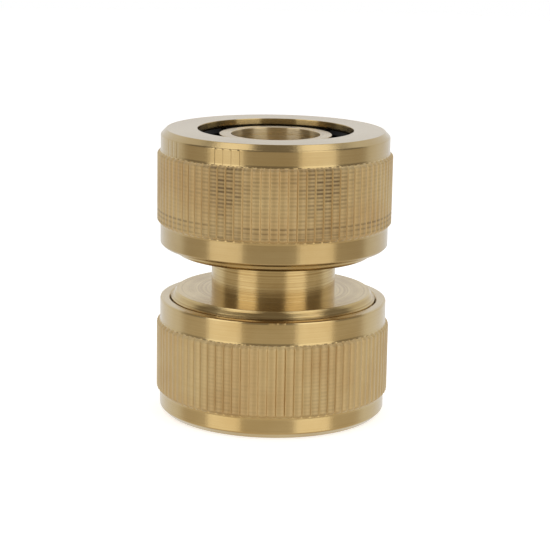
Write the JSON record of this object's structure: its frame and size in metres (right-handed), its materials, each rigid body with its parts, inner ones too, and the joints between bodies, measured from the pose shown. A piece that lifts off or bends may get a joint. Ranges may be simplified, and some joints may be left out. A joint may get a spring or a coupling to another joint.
{
  "type": "hose mender",
  "caption": "Brass hose mender: waisted connector with a barbed tail at each end, straight-knurled screw nuts, and split plastic collets that close round the hose ends.",
  "frame": {"origin": "middle of the lower nut's outer face, on which the mender stands", "axes": "+Z along the bore from the lower hose end to the upper one; X and Y are alike"},
  "size_m": [0.039, 0.039, 0.0476],
  "materials": {
    "turned_brass": "machine-turned and knurled, bare, satin to bright",
    "black_plastic": "moulded, fine matt"
  },
  "bodies": {
    "connector_body": {"connector_body": "turned_brass"},
    "upper_collet": {"upper_collet": "black_plastic"},
    "upper_nut": {"upper_nut": "turned_brass"},
    "lower_collet": {"lower_collet": "black_plastic"},
    "lower_nut": {"lower_nut": "turned_brass"}
  },
  "joints": [
    {"name": "upper_nut_travel", "type": "slide", "parent": "connector_body", "child": "upper_collet", "axis": [0, 0, 1], "range_m": [0, 0.0075]},
    {"name": "upper_nut_turn", "type": "hinge", "parent": "upper_collet", "child": "upper_nut", "pos_m": [0, 0, 0.038], "axis": [0, 0, 1], "range_deg": [0, 1800]},
    {"name": "lower_nut_travel", "type": "slide", "parent": "connector_body", "child": "lower_collet", "axis": [0, 0, -1], "range_m": [0, 0.0075]},
    {"name": "lower_nut_turn", "type": "hinge", "parent": "lower_collet", "child": "lower_nut", "pos_m": [0, 0, 0.0096], "axis": [0, 0, -1], "range_deg": [0, 1800]}
  ],
  "couplings": [
    {"joint": "upper_nut_travel", "follows": "upper_nut_turn", "m_per_rad": 0.00023873},
    {"joint": "lower_nut_travel", "follows": "lower_nut_turn", "m_per_rad": 0.00023873}
  ]
}
